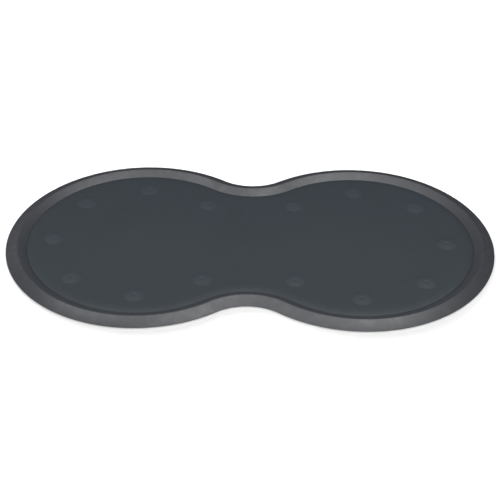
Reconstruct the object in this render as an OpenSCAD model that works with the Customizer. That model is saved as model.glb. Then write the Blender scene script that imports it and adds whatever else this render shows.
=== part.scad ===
// Figure-eight standing mat: a bevelled border around a recessed, cushioned standing surface.
// Fourteen soft buttons pass through the cover and the foam, and press into the base sheet.
// Millimetres, +Z up, origin on the floor under the middle of the mat, +X along its length.

/* [Outline] */
// Radius of each round lobe, out to the nose before it is rounded
lobe_r = 255.3; // [245:0.1:265]
// Size of the triangle between the middle and the centres of a lobe and of a waist curve
triangle_unit = 0.655; // [0.645:0.005:0.665]

/* [Border] */
// Height of the border's outer nose above the floor
nose_h = 2.4; // [2.4:0.1:4]
// Height of the border's crest before it is rounded
crest_h = 12; // [11:0.1:15]
// Width of the outer bevel, from nose to crest
bevel_w = 22.4; // [20:0.1:30]
// Width of the inner slope, from crest to cover
slope_w = 16.8; // [14:0.1:22]
// Width of the flange that carries the cover's edge
flange_w = 12; // [8:1:16]
// Inset of the border's floor edge under its nose
undercut = 3; // [1:0.5:3]
// Width of the border's floor edge
floor_edge_w = 4; // [3:0.5:6]

/* [Layers] */
// Thickness of the base sheet
base_t = 1.4; // [1.2:0.1:1.6]
// Thickness of the cover
cover_t = 1.3; // [1.2:0.1:1.4]
// Height of the standing surface above the floor
stand_h = 5.8; // [5.6:0.1:8]
// Drop of the cover from the standing surface to its edge
roll_drop = 2.4; // [1:0.1:2.5]
// Width over which the cover rolls down to its edge
roll_w = 22; // [18:1:30]

/* [Buttons] */
// Radius of the ring of buttons in each lobe
button_ring_r = 167.5; // [150:0.5:172]
// Radius of a button's head
button_r = 19; // [15:0.5:21]
// Height of a button's dome above the cover, before the dimple
button_rise = 1.2; // [0.5:0.1:2]
// Radius of a button's stem
stem_r = 4; // [3:0.1:5]
// Thickness of the wall of the socket around a stem
socket_wall = 3; // [2:0.5:5]

/* [Hidden] */
$fn = 128;

// Clearances: between parts that lie side by side, and between a stem and its socket.
gap = 0.2;
fit_gap = 0.05;

// Radii of the border's rounded nose and crest, and the steps that draw each of them.
nose_round = 0.6;
crest_round = 2.5;
round_steps = 5;

// The middle of the mat, a lobe's centre and a waist curve's centre make a right triangle.
// Its sides are 308, 435 and 533 units, so lobe and waist meet tangentially at exact points.
lobe_x = 308 * triangle_unit;
waist_y = 435 * triangle_unit;
waist_r = 533 * triangle_unit - lobe_r;

// Insets from the outline: where the inner slope ends, the flange ends and the cover lies level.
slope_in = bevel_w + slope_w;
flange_in = slope_in + flange_w;
level_in = slope_in + roll_w;
base_in = undercut + floor_edge_w + gap;

// Each lobe has eight places at equal angles, and the one towards the waist stays empty.
BUTTON_ANGLES = [for (i = [1:7]) 180 - i * 45];
SIDES = ["left", "right"];

// A button's head sits in a seat in the cover. Its top is a low dome with a dimple in the middle.
seat_h = stand_h - 0.7;
dimple_r = 6;
dimple_dip = 0.7;

// Heights of the socket's floor, the stem's end and the socket's top.
socket_floor_h = 0.8;
stem_end_h = 1;
socket_top_h = 3.8;

// ---- The figure-eight outline ----

// Diamond between the centres. Lobe arcs lie outside it and waist arcs inside it.
module diamond() {
    polygon([[-lobe_x, 0], [0, waist_y], [lobe_x, 0], [0, -waist_y]]);
}

module diamond_block() {
    translate([0, 0, -1]) linear_extrude(crest_h + 2) diamond();
}

// Flat region inside the outline, moved inwards by inset.
module outline(inset) {
    for (side = [-1, 1]) difference() {
        translate([side * lobe_x, 0]) circle(lobe_r - inset);
        diamond();
    }
    difference() {
        diamond();
        for (side = [-1, 1]) translate([0, side * waist_y]) circle(waist_r + inset);
    }
}

// Ring swept around the outline. A point of the section is [inset from the outline, height].
module swept(section) {
    for (side = [-1, 1]) difference() {
        translate([side * lobe_x, 0])
            rotate_extrude() polygon([for (p = section) exact([lobe_r - p[0], p[1]])]);
        diamond_block();
    }
    for (side = [-1, 1]) intersection() {
        translate([0, side * waist_y])
            rotate_extrude() polygon([for (p = section) exact([waist_r + p[0], p[1]])]);
        diamond_block();
    }
}

// ---- Helpers for sections ----

// A point to the nearest thousandth, so that arcs from either side of a joint meet exactly.
function exact(p) = [for (v = p) round(v * 1000) / 1000];

// Points of the arc that rounds the corner b between a and c with radius r.
function rounded(a, b, c, r) =
    let (
        u = (a - b) / norm(a - b),
        v = (c - b) / norm(c - b),
        half = acos(u * v) / 2,
        middle = b + (u + v) / norm(u + v) * r / sin(half),
        from = b + u * r / tan(half) - middle,
        to = b + v * r / tan(half) - middle,
        start = atan2(from[1], from[0]),
        turned = atan2(to[1], to[0]) - start,
        sweep = turned > 180 ? turned - 360 : turned < -180 ? turned + 360 : turned
    )
    [for (i = [0:round_steps])
        middle + r * [cos(start + sweep * i / round_steps), sin(start + sweep * i / round_steps)]];

// Height of the cover's top at an inset: level inside, rolling down to its edge.
function cover_top(inset) =
    stand_h - roll_drop * pow(max(0, (level_in - inset) / roll_w), 3);

// Points along the cover's top, or a thickness below it, from one inset to another.
function cover_line(from, to, below, steps) =
    [for (i = [0:steps]) let (d = from + (to - from) * i / steps) [d, cover_top(d) - below]];

// ---- Sub-parts ----

// Bevelled border: outer bevel, crest, inner slope and the flange under the cover's edge.
module border_rim() {
    floor_out = [undercut, 0];
    floor_in = [undercut + floor_edge_w, 0];
    nose = [0, nose_h];
    crest = [bevel_w, crest_h];
    slope_foot = [slope_in, stand_h - roll_drop];
    section = concat(
        [floor_in, floor_out],
        rounded(floor_out, nose, crest, nose_round),
        rounded(nose, crest, slope_foot, crest_round),
        [slope_foot],
        cover_line(slope_in, flange_in, cover_t, 3),
        [[flange_in, base_t], [floor_in[0], base_t]]
    );
    color("#5a5c60") swept(section);
}

// Flexible top sheet that people stand on, with a seat and a hole for each button.
module top_cover() {
    edge = slope_in + gap;
    section = concat(
        cover_line(edge, flange_in, 0, 3),
        cover_line(flange_in, level_in, 0, 3),
        cover_line(level_in, flange_in, cover_t, 3),
        cover_line(flange_in, edge, cover_t, 3)
    );
    color("#404449") difference() {
        union() {
            swept(section);
            translate([0, 0, stand_h - cover_t]) linear_extrude(cover_t) outline(level_in);
        }
        at_buttons() {
            translate([0, 0, seat_h]) cylinder(r = button_r + gap, h = cover_t);
            cylinder(r = stem_r + gap, h = stand_h);
        }
    }
}

// Soft foam between the cover and the base sheet, with a pocket for each socket and stem.
module cushion_core() {
    edge = flange_in + gap;
    section = concat(
        cover_line(edge, level_in, cover_t, 3),
        [[level_in, base_t], [edge, base_t]]
    );
    color("#b9b4a6") difference() {
        union() {
            swept(section);
            translate([0, 0, base_t])
                linear_extrude(stand_h - cover_t - base_t) outline(level_in);
        }
        at_buttons() {
            cylinder(r = stem_r + socket_wall + gap, h = socket_top_h + gap);
            cylinder(r = stem_r + gap, h = stand_h);
        }
    }
}

// Non-slip underside, with a moulded socket for each button's stem.
module base_sheet() {
    color("#2c2e31") difference() {
        union() {
            linear_extrude(base_t) outline(base_in);
            at_buttons() cylinder(r = stem_r + socket_wall, h = socket_top_h);
        }
        at_buttons()
            translate([0, 0, socket_floor_h]) cylinder(r = stem_r + fit_gap, h = socket_top_h);
    }
}

// Height of a button's top at a radius: a shallow dome, less the dimple in its middle.
function button_top(r) =
    let (dip = r < dimple_r ? dimple_dip * (1 + cos(180 * r / dimple_r)) / 2 : 0)
    stand_h + button_rise * (1 - pow(r / button_r, 2)) - dip;

// Soft button: a low domed head with a dimple, and the stem that presses into the base.
module button() {
    dome = [for (i = [0:6]) button_r - (button_r - dimple_r) * i / 6];
    dimple = [for (i = [1:6]) dimple_r * (1 - i / 6)];
    head = concat(
        [[0, stem_end_h], [stem_r, stem_end_h], [stem_r, seat_h], [button_r, seat_h]],
        [for (r = concat(dome, dimple)) [r, button_top(r)]]
    );
    color("#484c52") rotate_extrude() polygon(head);
}

// ---- Where the buttons go ----

// A left-hand place is the mirror image of the right-hand one.
function button_place(side, i) =
    let (
        sign = side == "left" ? -1 : 1,
        angle = BUTTON_ANGLES[i - 1]
    )
    [sign * (lobe_x + button_ring_r * cos(angle)), button_ring_r * sin(angle), 0];

module at_buttons() {
    for (side = SIDES, i = [1:7]) translate(button_place(side, i)) children();
}

border_rim();
top_cover();
cushion_core();
base_sheet();
for (side = SIDES, i = [1:7])
    translate(button_place(side, i)) button();
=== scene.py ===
"""Figure-eight standing mat: detailed meshes and materials around the CAD frame, in metres."""

import math

import bmesh
import bpy
from mathutils import Matrix, Vector
from mathutils.geometry import delaunay_2d_cdt


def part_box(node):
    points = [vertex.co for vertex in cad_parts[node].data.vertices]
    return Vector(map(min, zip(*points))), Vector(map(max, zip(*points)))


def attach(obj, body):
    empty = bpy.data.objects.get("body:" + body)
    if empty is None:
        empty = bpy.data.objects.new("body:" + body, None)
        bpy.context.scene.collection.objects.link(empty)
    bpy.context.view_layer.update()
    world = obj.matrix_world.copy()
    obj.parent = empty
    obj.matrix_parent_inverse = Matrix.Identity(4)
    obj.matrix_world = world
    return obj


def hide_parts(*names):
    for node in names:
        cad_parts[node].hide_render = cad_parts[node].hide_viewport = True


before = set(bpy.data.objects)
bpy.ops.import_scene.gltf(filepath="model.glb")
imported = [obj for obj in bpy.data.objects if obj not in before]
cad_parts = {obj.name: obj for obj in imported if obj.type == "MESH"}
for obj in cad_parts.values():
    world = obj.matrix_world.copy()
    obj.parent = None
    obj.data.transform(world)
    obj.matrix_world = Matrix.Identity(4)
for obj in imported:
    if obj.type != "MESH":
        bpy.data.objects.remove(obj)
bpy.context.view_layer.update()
MM = 0.001

# ---- Driving sizes, from the frame where it gives them ----

SIDES = ("left", "right")
BUTTONS = [f"{side}_button_{i}" for side in SIDES for i in range(1, 8)]


def middle(node):
    """Centre of a CAD node's box."""
    lo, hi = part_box(node)
    return (lo + hi) / 2


rim_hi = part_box("border_rim")[1]
cover_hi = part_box("top_cover")[1]
core_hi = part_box("cushion_core")[1]
base_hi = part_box("base_sheet")[1]
button_lo, button_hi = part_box("left_button_1")
CENTRES = {node: middle(node) for node in BUTTONS}

# Button 2 of a lobe lies straight across its centre, so it gives the centre's place.
LOBE_X = CENTRES["right_button_2"].x
LOBE_R = rim_hi.y
# The middle, a lobe's centre and a waist curve's centre make a right triangle with these sides.
WAIST_Y = LOBE_X * 435 / 308
WAIST_R = LOBE_X * 533 / 308 - LOBE_R
JOINT_ANGLE = math.atan2(WAIST_Y, LOBE_X)

CREST_H = rim_hi.z
STAND_H = cover_hi.z
COVER_IN = LOBE_R - cover_hi.y
CORE_IN = LOBE_R - core_hi.y
BASE_IN = LOBE_R - base_hi.y
GAP = 0.2 * MM
SLOPE_IN = COVER_IN - GAP
FLANGE_IN = CORE_IN - GAP
FLOOR_EDGE_W = 4 * MM
FLOOR_EDGE_IN = (BASE_IN - GAP - FLOOR_EDGE_W, BASE_IN - GAP)

# Rounding takes these off the border's sharp nose and crest.
NOSE_TRIM = 0.56 * MM
CREST_TRIM = 0.33 * MM
NOSE_H = 2.4 * MM
BEVEL_W = 22.4 * MM
CREST_IN = BEVEL_W - NOSE_TRIM

# Layers, and the cover's rolled edge.
COVER_T = 1.3 * MM
BASE_T = 1.4 * MM
ROLL_DROP = 2.4 * MM
ROLL_W = 22 * MM
LEVEL_IN = SLOPE_IN + ROLL_W
EDGE_ROUND = 0.9 * MM
# The foam stops just short of the cover, so that their triangles never cross.
FOAM_GAP = 0.03 * MM

BUTTON_R = (button_hi.x - button_lo.x) / 2
DIMPLE_R = 6 * MM
DIMPLE_DIP = 0.7 * MM
BUTTON_RISE = (button_hi.z - STAND_H) / (1 - (DIMPLE_R / BUTTON_R) ** 2)
STEM_END = button_lo.z
SEAT_DEPTH = 0.7 * MM
SEAT_H = STAND_H - SEAT_DEPTH
SEAT_GAP = 0.06 * MM
STEM_R = 4 * MM
STEM_GAP = 0.05 * MM
SOCKET_R = 7 * MM
SOCKET_TOP = base_hi.z
SOCKET_FLOOR = 0.8 * MM
SOCKET_BORE = STEM_R + STEM_GAP
ROUND_STEPS = 64

# The standing surface swells a little in the middle of each lobe.
CROWN = 0.6 * MM
CROWN_FROM = 118 * MM
CROWN_W = 90 * MM

# The underside's grip pips: their height, the pitch of the lattice that draws them, and the
# width of the plain margin round them.
PIP_H = 0.35 * MM
PIP_PITCH = 4 * MM
PIP_MARGIN = 3 * MM

# Meshing: points closer than MERGE are joined, and an edge sharper than CREASE isn't smoothed.
MERGE = 0.002 * MM
CREASE = math.radians(35)


# ---- The figure-eight outline ----

def inset_of(x, y):
    """Distance of a point inwards from the outline."""
    x, y = abs(x), abs(y)
    if x / LOBE_X + y / WAIST_Y < 1:
        return math.hypot(x, y - WAIST_Y) - WAIST_R
    return LOBE_R - math.hypot(x - LOBE_X, y)


def arc(cx, cy, start, sweep, spacing, lobe):
    """Evenly spaced stations on one arc of the outline, without its last point."""
    radius = LOBE_R if lobe else WAIST_R
    count = max(8, round(abs(sweep) * radius / spacing))
    return [(cx, cy, start + sweep * i / count, lobe) for i in range(count)]


def stations(spacing):
    """Stations anticlockwise round the outline: centre x, centre y, angle, and if on a lobe."""
    lobe_sweep = 2 * math.pi - 2 * JOINT_ANGLE
    waist_sweep = 2 * JOINT_ANGLE - math.pi
    return (
        arc(LOBE_X, 0, JOINT_ANGLE - math.pi, lobe_sweep, spacing, True)
        + arc(0, WAIST_Y, -JOINT_ANGLE, waist_sweep, spacing, False)
        + arc(-LOBE_X, 0, JOINT_ANGLE, lobe_sweep, spacing, True)
        + arc(0, -WAIST_Y, math.pi - JOINT_ANGLE, waist_sweep, spacing, False)
    )


def at_inset(station, inset):
    """Plan position of a station moved inwards by inset."""
    cx, cy, angle, lobe = station
    radius = LOBE_R - inset if lobe else WAIST_R + inset
    return cx + radius * math.cos(angle), cy + radius * math.sin(angle)


# ---- Curves ----

def smooth(t):
    """Smooth step from 0 to 1."""
    t = min(1.0, max(0.0, t))
    return t * t * (3 - 2 * t)


def rounded(points, radii, steps=8):
    """A closed section with each corner rounded to its radius; a radius of 0 stays sharp."""
    out = []
    for i, (corner, radius) in enumerate(zip(points, radii)):
        b = Vector(corner)
        if radius == 0:
            out.append(b)
            continue
        u = (Vector(points[i - 1]) - b).normalized()
        v = (Vector(points[(i + 1) % len(points)]) - b).normalized()
        half = u.angle(v) / 2
        reach = radius / math.tan(half)
        centre = b + (u + v).normalized() * radius / math.sin(half)
        a0, a1 = b + u * reach - centre, b + v * reach - centre
        start = math.atan2(a0.y, a0.x)
        sweep = (math.atan2(a1.y, a1.x) - start + math.pi) % (2 * math.pi) - math.pi
        for k in range(steps + 1):
            angle = start + sweep * k / steps
            out.append(centre + radius * Vector((math.cos(angle), math.sin(angle))))
    return out


def cover_top(inset):
    """Height of the cover's top at an inset, without the crown."""
    t = min(1.0, max(0.0, (LEVEL_IN - inset) / ROLL_W))
    return STAND_H - ROLL_DROP * t ** 3


def standing_surface(x, y):
    """Height of the standing surface at a point: rolled edge and crown."""
    inset = inset_of(x, y)
    return cover_top(inset) + CROWN * smooth((inset - CROWN_FROM) / CROWN_W)


# ---- Mesh helpers ----

def piece(name, bm, material, node):
    """Finishes a mesh as a piece that stands for a CAD node."""
    bmesh.ops.remove_doubles(bm, verts=bm.verts, dist=MERGE)
    bmesh.ops.recalc_face_normals(bm, faces=bm.faces)
    mesh = bpy.data.meshes.new(name)
    bm.to_mesh(mesh)
    bm.free()
    mesh.materials.append(material)
    mesh.shade_smooth()
    mesh.set_sharp_from_angle(angle=CREASE)
    obj = bpy.data.objects.new(name, mesh)
    bpy.context.scene.collection.objects.link(obj)
    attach(obj, "root")
    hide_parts(node)
    return obj


def add_band(bm, lower, upper):
    """Quads between two closed loops of equal length."""
    for i in range(len(lower)):
        j = (i + 1) % len(lower)
        bm.faces.new((lower[i], lower[j], upper[j], upper[i]))


def swept(bm, section, places, closed=True):
    """Sweeps a section of (inset, height) points round the outline."""
    loops = [[bm.verts.new((*at_inset(s, d), z)) for s in places] for d, z in section]
    pairs = zip(loops, loops[1:] + loops[:1]) if closed else zip(loops, loops[1:])
    for a, b in pairs:
        add_band(bm, a, b)


def circle_points(centre, radius):
    """Plan points of a circle."""
    turn = 2 * math.pi / ROUND_STEPS
    return [
        (centre.x + radius * math.cos(i * turn), centre.y + radius * math.sin(i * turn))
        for i in range(ROUND_STEPS)
    ]


def lathe(bm, profile, centre):
    """Turns (radius, height) points round a vertical axis; a radius of 0 closes the end."""
    loops = []
    for radius, z in profile:
        if radius == 0:
            loops.append([bm.verts.new((centre.x, centre.y, z))])
        else:
            loops.append([bm.verts.new((x, y, z)) for x, y in circle_points(centre, radius)])
    for a, b in zip(loops, loops[1:]):
        if len(a) == 1 or len(b) == 1:
            tip, ring = (a[0], b) if len(a) == 1 else (b[0], a)
            for i in range(len(ring)):
                bm.faces.new((tip, ring[i], ring[(i + 1) % len(ring)]))
        else:
            add_band(bm, a, b)


def lattice(pitch):
    """Triangular lattice over the mat: plan points, with every third one marked as a pip."""
    rows = math.ceil(LOBE_R / (pitch * math.sqrt(3) / 2))
    columns = math.ceil((LOBE_X + LOBE_R) / pitch) + rows
    for row in range(-rows, rows + 1):
        y = row * pitch * math.sqrt(3) / 2
        for column in range(-columns, columns + 1):
            x = (column + row / 2) * pitch
            if abs(x) < LOBE_X + LOBE_R:
                yield x, y, (column - row) % 3 == 0


def skin(bm, places, insets, hole_radius, hole_rings, pitch, height):
    """One face of a plate: triangles inside the outline, with a round hole at each button.

    height gives a point's height from its place and whether the lattice marks it as a pip.
    """
    points, edges = [], []

    def add_loop(loop, fixed):
        first = len(points)
        points.extend(Vector(p) for p in loop)
        if fixed:
            edges.extend((first + i, first + (i + 1) % len(loop)) for i in range(len(loop)))

    for k, inset in enumerate(insets):
        add_loop([at_inset(s, inset) for s in places], fixed=k == 0)
    if hole_radius:
        for centre in CENTRES.values():
            add_loop(circle_points(centre, hole_radius), fixed=True)
            for extra in hole_rings:
                add_loop(circle_points(centre, hole_radius + extra), fixed=False)
    margin = pitch * 0.6
    clear = hole_radius + max(hole_rings, default=0) + margin
    pips = set()
    for x, y, is_pip in lattice(pitch):
        near = hole_radius and any(
            math.hypot(x - c.x, y - c.y) < clear for c in CENTRES.values()
        )
        if inset_of(x, y) > insets[-1] + margin and not near:
            if is_pip:
                pips.add(len(points))
            points.append(Vector((x, y)))

    inside_only = 1
    tolerance = 1e-9
    flat, _, faces, sources, _, _ = delaunay_2d_cdt(points, edges, [], inside_only, tolerance)
    verts = [
        bm.verts.new((p.x, p.y, height(p.x, p.y, bool(pips.intersection(source)))))
        for p, source in zip(flat, sources)
    ]
    for face in faces:
        x, y = sum((flat[i] for i in face), Vector((0, 0))) / len(face)
        if all(math.hypot(x - c.x, y - c.y) > hole_radius for c in CENTRES.values()):
            bm.faces.new([verts[i] for i in face])


# ---- Materials ----

class Nodes:
    """Short forms for building one material's node tree."""

    def __init__(self, name):
        self.material = bpy.data.materials.new(name)
        self.material.use_nodes = True
        self.tree = self.material.node_tree
        self.shader = self.tree.nodes["Principled BSDF"]
        self.place = self.tree.nodes.new("ShaderNodeTexCoord").outputs["Object"]

    def link(self, source, target):
        """Joins an output socket to an input socket."""
        self.tree.links.new(source, target)

    def noise(self, size, detail=3.0, roughness=0.55):
        """Noise with features of about size metres, from 0 to 1."""
        node = self.tree.nodes.new("ShaderNodeTexNoise")
        node.inputs["Scale"].default_value = 1 / size
        node.inputs["Detail"].default_value = detail
        node.inputs["Roughness"].default_value = roughness
        self.link(self.place, node.inputs["Vector"])
        return node.outputs["Fac"]

    def cells(self, size, smoothness=0.6):
        """Rounded pebbles of about size metres."""
        node = self.tree.nodes.new("ShaderNodeTexVoronoi")
        node.feature = "SMOOTH_F1"
        node.inputs["Scale"].default_value = 1 / size
        node.inputs["Smoothness"].default_value = smoothness
        self.link(self.place, node.inputs["Vector"])
        return node.outputs["Distance"]

    def ranged(self, value, low, high, out_low, out_high):
        """Maps a value's low to high onto out_low to out_high."""
        node = self.tree.nodes.new("ShaderNodeMapRange")
        for key, number in zip(("From Min", "From Max", "To Min", "To Max"),
                               (low, high, out_low, out_high)):
            node.inputs[key].default_value = number
        self.link(value, node.inputs["Value"])
        return node.outputs["Result"]

    def math(self, operation, a, b):
        """Arithmetic on two values, each a number or a socket."""
        node = self.tree.nodes.new("ShaderNodeMath")
        node.operation = operation
        for i, value in enumerate((a, b)):
            if isinstance(value, (int, float)):
                node.inputs[i].default_value = value
            else:
                self.link(value, node.inputs[i])
        return node.outputs[0]

    def mix(self, factor, a, b):
        """Mixes two colours, each a tuple or a socket."""
        node = self.tree.nodes.new("ShaderNodeMix")
        node.data_type = "RGBA"
        self.link(factor, node.inputs["Factor"])
        for key, colour in (("A", a), ("B", b)):
            socket = next(s for s in node.inputs if s.name == key and s.type == "RGBA")
            if isinstance(colour, tuple):
                socket.default_value = (*colour, 1)
            else:
                self.link(colour, socket)
        return next(s for s in node.outputs if s.type == "RGBA")

    def attribute(self, name):
        """A value stored on the mesh's points."""
        node = self.tree.nodes.new("ShaderNodeAttribute")
        node.attribute_name = name
        return node.outputs["Fac"]

    def bump(self, height, distance):
        """Relief on the surface, distance metres deep."""
        node = self.tree.nodes.new("ShaderNodeBump")
        node.inputs["Strength"].default_value = 1
        node.inputs["Distance"].default_value = distance
        self.link(height, node.inputs["Height"])
        self.link(node.outputs["Normal"], self.shader.inputs["Normal"])

    def set(self, **values):
        """Sets the shader's own sockets."""
        for key, value in values.items():
            self.shader.inputs[key.replace("_", " ")].default_value = value


def rubber(name, dark, light, pale_tint, grain, grain_depth, rough):
    """Moulded rubber: mottled colour, pebbled grain, uneven gloss, and a paler tint where the mesh
    marks it: wear, and on the border's crest also a painted highlight.
    """
    n = Nodes(name)
    blotch_size, speckle_size, scuff_size = 90 * MM, 2.2 * MM, 14 * MM
    blotches = n.ranged(n.noise(blotch_size), 0.3, 0.7, 0, 1)
    speckle = n.ranged(n.noise(speckle_size, detail=2), 0.35, 0.65, 0, 1)
    mottle = n.math("ADD", n.math("MULTIPLY", blotches, 0.6), n.math("MULTIPLY", speckle, 0.4))
    colour = n.mix(mottle, dark, light)
    scuffs = n.ranged(n.noise(scuff_size, detail=5, roughness=0.7), 0.46, 0.66, 0, 1)
    # The paler tint is wear, and along the border's crest partly a painted highlight.
    wear_and_highlight = n.math("MULTIPLY", n.attribute("wear_and_highlight"), n.ranged(scuffs, 0, 1, 0.35, 1))
    n.link(n.mix(wear_and_highlight, colour, pale_tint), n.shader.inputs["Base Color"])
    gloss = n.math("ADD", n.math("MULTIPLY", blotches, 0.5), n.math("MULTIPLY", scuffs, 0.5))
    n.link(n.ranged(gloss, 0, 1, rough + 0.05, rough - 0.05), n.shader.inputs["Roughness"])
    pebbles = n.cells(grain)
    fine = n.noise(grain * 0.35, detail=2)
    n.bump(n.math("ADD", pebbles, n.math("MULTIPLY", fine, 0.35)), grain_depth)
    return n.material


def foam(name):
    """Pale open-cell foam, with painted shade in the pits of its cells."""
    n = Nodes(name)
    cell_size, cell_depth, patch_size = 1.6 * MM, 0.4 * MM, 60 * MM
    cells = n.cells(cell_size, smoothness=0.25)
    patches = n.ranged(n.noise(patch_size), 0.3, 0.7, 0, 1)
    body = n.mix(patches, (0.50, 0.46, 0.38), (0.43, 0.40, 0.33))
    # The pits of the cells, where the bump is lowest, are painted darker: painted shade in the
    # pores.
    n.link(n.mix(n.ranged(cells, 0, 0.7, 0.45, 0), body, (0.26, 0.24, 0.2)),
           n.shader.inputs["Base Color"])
    n.bump(cells, cell_depth)
    n.set(Roughness=0.95)
    return n.material


BORDER = rubber("border_rubber", (0.0448, 0.0485, 0.0560), (0.0538, 0.0586, 0.0677),
                (0.093, 0.097, 0.1075), grain=0.9 * MM, grain_depth=0.05 * MM, rough=0.42)
COVER = rubber("cover_rubber", (0.0272, 0.0368, 0.0454), (0.0329, 0.0437, 0.0537),
               (0.046, 0.0565, 0.0675), grain=1.7 * MM, grain_depth=0.17 * MM, rough=0.60)
BUTTON = rubber("button_rubber", (0.0345, 0.0455, 0.0550), (0.0408, 0.0533, 0.0643),
                (0.0545, 0.067, 0.0785), grain=0.7 * MM, grain_depth=0.03 * MM, rough=0.52)
BASE = rubber("base_rubber", (0.020, 0.021, 0.023), (0.030, 0.031, 0.034), (0.07, 0.07, 0.072),
              grain=0.8 * MM, grain_depth=0.04 * MM, rough=0.72)
FOAM = foam("foam_core")


def add_wear_and_highlight(obj, amount):
    """Stores how pale each point is painted, from 0 to 1: wear, and on the border's crest also a
    painted highlight.
    """
    layer = obj.data.attributes.new("wear_and_highlight", "FLOAT", "POINT")
    layer.data.foreach_set("value", [amount(v.co) for v in obj.data.vertices])


# ---- Sub-parts ----

def make_border():
    """Bevelled border with a rounded nose and crest, and the flange under the cover's edge."""
    corners = [
        (FLOOR_EDGE_IN[1], 0), (FLOOR_EDGE_IN[0], 0), (-NOSE_TRIM, NOSE_H),
        (CREST_IN, CREST_H + CREST_TRIM), (SLOPE_IN, cover_top(SLOPE_IN)),
        (SLOPE_IN, cover_top(SLOPE_IN) - COVER_T), (FLANGE_IN, cover_top(FLANGE_IN) - COVER_T),
        (FLANGE_IN, BASE_T), (FLOOR_EDGE_IN[1], BASE_T),
    ]
    edge, nose, crest, inner = 0.3 * MM, 0.6 * MM, 2.5 * MM, 0.2 * MM
    section = rounded(corners, [edge, edge, nose, crest, edge, 0, edge, inner, inner])
    bm = bmesh.new()
    swept(bm, section, stations(4 * MM))
    obj = piece("border", bm, BORDER, "border_rim")
    crest_wear_and_highlight_w, nose_wear_w = 1.6 * MM, 1 * MM
    near_crest = CREST_H - 2 * MM

    # Paler along the crest, partly wear and partly a painted highlight; paler at the nose from
    # wear.
    def pale_tint(p):
        inset = inset_of(p.x, p.y)
        on_crest = math.exp(-(((inset - CREST_IN) / crest_wear_and_highlight_w) ** 2)) if p.z > near_crest else 0
        on_nose = math.exp(-((inset / nose_wear_w) ** 2))
        return max(0.55 * on_crest, 0.5 * on_nose)

    add_wear_and_highlight(obj, pale_tint)


def make_cover():
    """Standing surface: rolled and rounded edge, slight crown, and a seat for each button."""
    places = stations(5 * MM)
    turn = [math.pi / 2 * k / 6 for k in range(7)]
    edge_top = cover_top(COVER_IN + EDGE_ROUND)
    edge = [
        (COVER_IN + EDGE_ROUND * (1 - math.sin(a)), edge_top - EDGE_ROUND * (1 - math.cos(a)))
        for a in turn
    ]
    edge += [(COVER_IN, cover_top(COVER_IN) - COVER_T)]
    rolled = [COVER_IN + EDGE_ROUND + ROLL_W * k / 10 for k in range(12)]
    bm = bmesh.new()

    def top(x, y, _):
        return standing_surface(x, y)

    def bottom(x, y, _):
        return cover_top(inset_of(x, y)) - COVER_T

    rings = [1 * MM, 3 * MM, 6 * MM]
    seat_r = BUTTON_R + SEAT_GAP
    top_pitch, bottom_pitch = 9 * MM, 14 * MM
    skin(bm, places, rolled, seat_r, rings, top_pitch, top)
    hole = STEM_R + GAP
    skin(bm, places, [COVER_IN] + rolled[1:], hole, [], bottom_pitch, bottom)
    swept(bm, edge, places, closed=False)
    for centre in CENTRES.values():
        lathe(bm, [(seat_r, STAND_H), (seat_r, SEAT_H), (hole, SEAT_H),
                   (hole, STAND_H - COVER_T)], centre)
    obj = piece("cover", bm, COVER, "top_cover")

    # Feet rub a patch of each lobe most, a little nearer the waist than the lobe's centre.
    rubbed_x, rubbed_r, rubbed_most = LOBE_X * 0.8, 170 * MM, 0.22

    def pale_tint(p):
        away = math.hypot(abs(p.x) - rubbed_x, p.y)
        return rubbed_most * (1 - smooth(away / rubbed_r))

    add_wear_and_highlight(obj, pale_tint)


def make_core():
    """Foam pad with rounded edges, and a stepped hole for each socket and stem."""
    places = stations(6 * MM)
    round_r = 0.6 * MM

    def top_at(inset):
        return cover_top(inset) - COVER_T - FOAM_GAP

    edge = [
        (CORE_IN + round_r, top_at(CORE_IN + round_r)),
        (CORE_IN, top_at(CORE_IN) - round_r),
        (CORE_IN, BASE_T + round_r),
        (CORE_IN + round_r, BASE_T),
    ]
    bm = bmesh.new()
    rolled = [CORE_IN + round_r + ROLL_W * k / 8 for k in range(8)]
    top_pitch, bottom_pitch = 14 * MM, 16 * MM
    bore, pocket = STEM_R + GAP, SOCKET_R + GAP
    skin(bm, places, rolled, bore, [], top_pitch, lambda x, y, _: top_at(inset_of(x, y)))
    skin(bm, places, rolled[:1], pocket, [], bottom_pitch, lambda x, y, _: BASE_T)
    swept(bm, edge, places, closed=False)
    hole = [(bore, top_at(LEVEL_IN)), (bore, SOCKET_TOP + GAP),
            (pocket, SOCKET_TOP + GAP), (pocket, BASE_T)]
    for centre in CENTRES.values():
        lathe(bm, hole, centre)
    obj = piece("foam_core", bm, FOAM, "cushion_core")


def make_base():
    """Base sheet with a socket for each stem above, and grip pips below."""
    places = stations(4 * MM)
    bm = bmesh.new()
    rim = BASE_IN + PIP_MARGIN
    raised_from = rim + 1 * MM
    top_pitch = 16 * MM

    def underside(x, y, is_pip):
        return PIP_H if inset_of(x, y) > raised_from and not is_pip else 0

    skin(bm, places, [BASE_IN], SOCKET_R, [], top_pitch, lambda x, y, _: BASE_T)
    skin(bm, places, [BASE_IN, rim], 0, [], PIP_PITCH, underside)
    swept(bm, [(BASE_IN, BASE_T), (BASE_IN, 0)], places, closed=False)
    wall = [(SOCKET_R, BASE_T), (SOCKET_R, SOCKET_TOP), (SOCKET_BORE, SOCKET_TOP),
            (SOCKET_BORE, SOCKET_FLOOR), (0, SOCKET_FLOOR)]
    for centre in CENTRES.values():
        lathe(bm, wall, centre)
    obj = piece("base", bm, BASE, "base_sheet")
    on_floor = 0.05 * MM
    add_wear_and_highlight(obj, lambda p: 0.5 if p.z < on_floor else 0)


def button_top(r):
    """Height of a button's top at a radius: a shallow dome, less the dimple in its middle."""
    dip = DIMPLE_DIP * (1 + math.cos(math.pi * min(1, r / DIMPLE_R))) / 2
    return STAND_H + BUTTON_RISE * (1 - (r / BUTTON_R) ** 2) - dip


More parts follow.
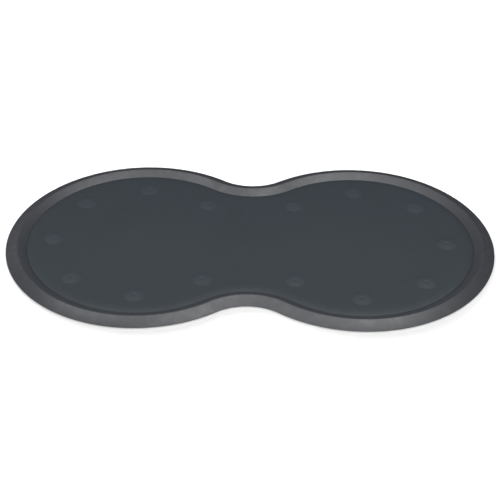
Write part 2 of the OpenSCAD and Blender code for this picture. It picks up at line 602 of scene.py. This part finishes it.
def button_profile():
    """Half section of a button, from the middle of its top round to the end of its stem."""
    edge_r, end_r = 0.15 * MM, 0.4 * MM
    reach, steps = BUTTON_R - edge_r, 24
    top = [(reach * k / steps, button_top(reach * k / steps)) for k in range(steps + 1)]
    edge_z = top[-1][1] - edge_r
    edge = [
        (reach + edge_r * math.sin(a), edge_z + edge_r * math.cos(a))
        for a in (math.pi / 8 * k for k in range(1, 5))
    ]
    below = [(BUTTON_R, SEAT_H), (STEM_R, SEAT_H), (STEM_R, STEM_END + end_r),
             (STEM_R - end_r, STEM_END), (0, STEM_END)]
    return top + edge + below


def make_button(node):
    """Soft button at its CAD place."""
    bm = bmesh.new()
    centre = CENTRES[node]
    lathe(bm, button_profile(), centre)
    obj = piece(f"{node}_soft", bm, BUTTON, node)
    add_wear_and_highlight(obj, lambda p: 0.5 * smooth((p.z - STAND_H) / BUTTON_RISE))


# ---- Stage, lights and camera ----

def make_floor():
    """Plain pale floor that gives off light itself, so that it stays pale far from the lights."""
    half = 8
    grey, glow = 0.3, 0.45
    below_mat = 0.01 * MM
    bm = bmesh.new()
    corners = [(-half, -half, 0), (half, -half, 0), (half, half, 0), (-half, half, 0)]
    bm.faces.new([bm.verts.new(c) for c in corners])
    mesh = bpy.data.meshes.new("floor")
    bm.to_mesh(mesh)
    bm.free()
    n = Nodes("floor_white")
    n.set(Base_Color=(grey, grey, grey, 1), Roughness=1.0, Specular_IOR_Level=0,
          Emission_Color=(1, 1, 1, 1), Emission_Strength=glow)
    mesh.materials.append(n.material)
    floor = bpy.data.objects.new("floor", mesh)
    floor.location.z = -below_mat
    floor.visible_glossy = False
    bpy.context.scene.collection.objects.link(floor)
    return floor


def softbox(name, place, size, radiance):
    """Rectangular light with a given radiance, aimed at the middle of the mat."""
    light = bpy.data.lights.new(name, "AREA")
    light.shape = "RECTANGLE"
    light.size, light.size_y = size
    light.energy = radiance * math.pi * size[0] * size[1]
    obj = bpy.data.objects.new(name, light)
    obj.location = place
    obj.visible_camera = False
    obj.rotation_euler = (-Vector(place)).to_track_quat("-Z", "Y").to_euler()
    bpy.context.scene.collection.objects.link(obj)
    return obj


def make_light(floor):
    """Softboxes, the last one low and for the floor's contact shadow only, and a white backdrop."""
    world = bpy.data.worlds.new("backdrop")
    bpy.context.scene.world = world
    world.use_nodes = True
    background = world.node_tree.nodes["Background"]
    background.inputs["Color"].default_value = (1, 1, 1, 1)
    # The camera sees the backdrop, but it lights nothing.
    world.cycles_visibility.diffuse = False
    world.cycles_visibility.glossy = False
    softbox("overhead", (0, 0, 2.3), (1, 0.8), 5.8)
    softbox("overhead_right", (0.7, 0.2, 2.25), (0.5, 0.4), 24)
    softbox("far_right", (1.15, 0.38, 2.2), (0.7, 0.6), 6.1)
    softbox("far_left", (-1.12, 0.38, 2.2), (0.6, 0.6), 14.2)
    softbox("back_left", (-1.9, 2, 1.2), (1.4, 1.2), 0.71)
    softbox("front", (0, -1.35, 0.95), (2, 0.5), 0.95)
    floor_only = bpy.data.collections.new("floor_only")
    floor_only.objects.link(floor)
    low = softbox("low_back", (-0.9, 3, 0.8), (2.4, 0.7), 118)
    low.light_linking.receiver_collection = floor_only


def make_camera():
    """Long lens from the front, above the mat, turned by about a degree and barely rolled."""
    elevation, turn, roll = (math.radians(degrees) for degrees in (36.47, 0.93, 0.285))
    distance, lens_mm = 2.378, 91.7
    target = Vector((0.0007, -0.0211, 0))
    back = Vector((math.sin(turn) * math.cos(elevation),
                   -math.cos(turn) * math.cos(elevation),
                   math.sin(elevation)))
    level = Vector((math.cos(turn), math.sin(turn), 0))
    upright = back.cross(level)
    right = math.cos(roll) * level + math.sin(roll) * upright
    up = math.cos(roll) * upright - math.sin(roll) * level
    camera = bpy.data.cameras.new("camera")
    camera.lens = lens_mm
    obj = bpy.data.objects.new("camera", camera)
    turned = Matrix((right, up, back)).transposed().to_4x4()
    obj.matrix_world = Matrix.Translation(target + distance * back) @ turned
    bpy.context.scene.collection.objects.link(obj)
    bpy.context.scene.camera = obj


make_camera()
make_light(make_floor())
make_border()
make_cover()
make_core()
make_base()
for button in BUTTONS:
    make_button(button)
bpy.context.scene.view_settings.view_transform = "Standard"
